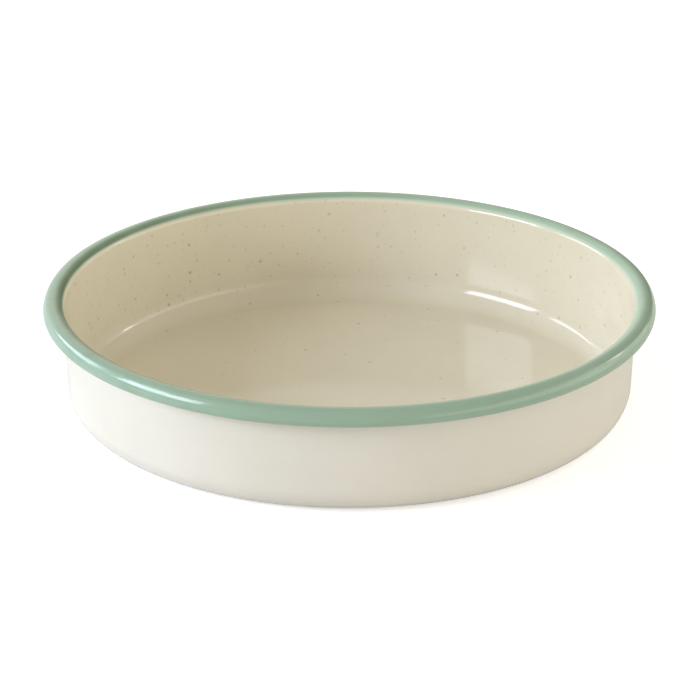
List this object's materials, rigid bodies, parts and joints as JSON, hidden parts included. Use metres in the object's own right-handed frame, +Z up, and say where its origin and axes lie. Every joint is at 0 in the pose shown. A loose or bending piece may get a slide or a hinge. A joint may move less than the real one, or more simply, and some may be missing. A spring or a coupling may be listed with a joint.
{
  "type": "enamel baking dish",
  "caption": "Round, flat-floored baking dish of enamelled pressed steel with nearly upright walls, a rolled green rim and a speckled cream inside.",
  "frame": {"origin": "middle of the underside, on the surface that the dish rests on", "axes": "+Z up along the dish's axis, out of its mouth"},
  "size_m": [0.28, 0.28, 0.053],
  "materials": {
    "sheet_steel": "satin",
    "speckled_enamel": "gloss",
    "cream_enamel": "gloss",
    "green_enamel": "gloss"
  },
  "bodies": {
    "root": {"steel_shell": "sheet_steel", "interior_enamel": "speckled_enamel", "exterior_enamel": "cream_enamel", "rim_enamel": "green_enamel"}
  },
  "joints": []
}
